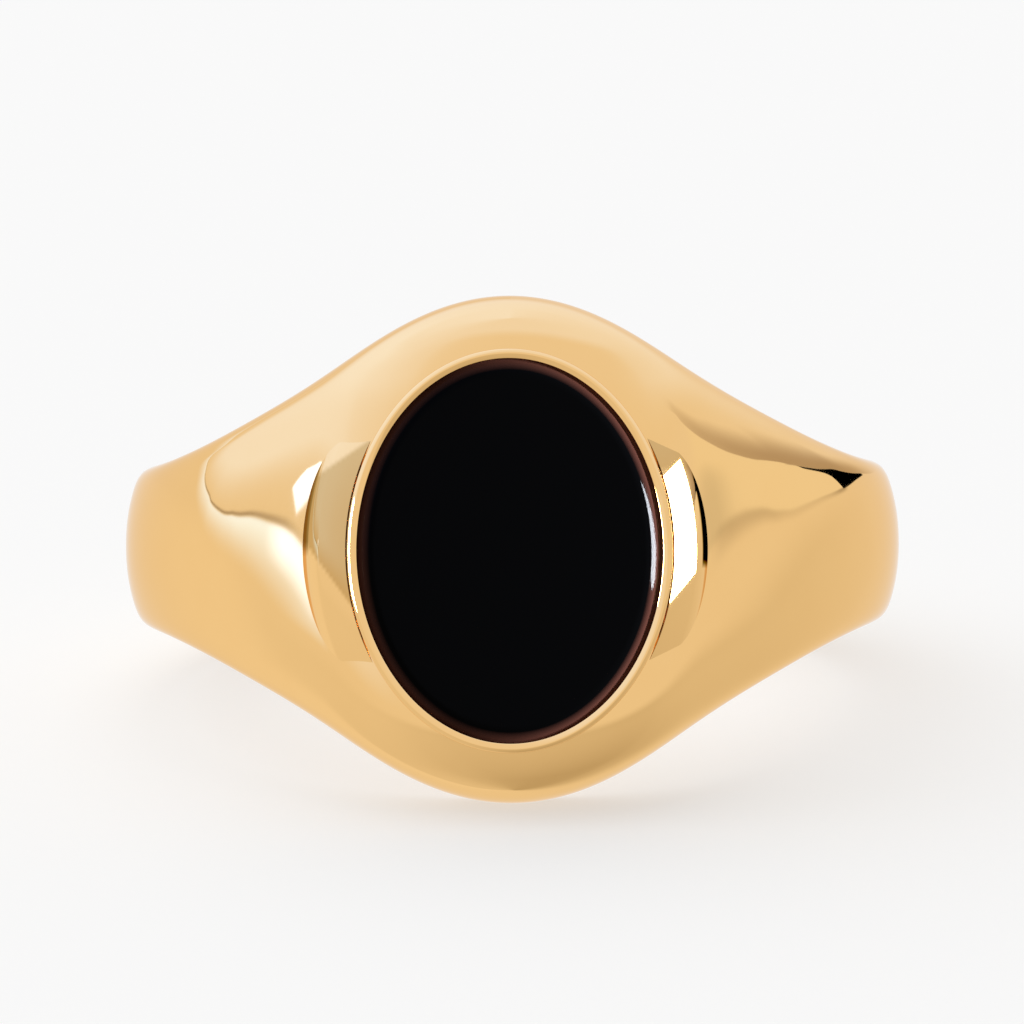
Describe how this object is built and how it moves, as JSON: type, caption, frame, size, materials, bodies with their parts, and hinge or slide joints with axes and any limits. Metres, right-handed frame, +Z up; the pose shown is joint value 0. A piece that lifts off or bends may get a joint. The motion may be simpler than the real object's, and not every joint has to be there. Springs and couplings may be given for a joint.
{
  "type": "signet ring",
  "caption": "Polished gold signet ring: slim shank, broad shoulders and a raised oval head with a flat, bevelled black oval stone in a thin bezel.",
  "frame": {"origin": "on the surface the ring stands on, under the middle of its bounding box", "axes": "+Z up, -Y the way the face with the stone looks, X across the finger; the ring stands tipped back on the lower edges of its head and of the back of its shank"},
  "size_m": [0.0202, 0.0222, 0.0127],
  "materials": {
    "gold_casting": "polished",
    "gold_bezel": "polished",
    "gold_bearing": "satin",
    "setting_cement": "matte",
    "black_onyx": "polished"
  },
  "bodies": {
    "root": {"ring_body": "gold_casting", "bezel": "gold_bezel", "bearing_ring": "gold_bearing", "cement_bed": "setting_cement", "onyx_stone": "black_onyx"}
  },
  "joints": []
}
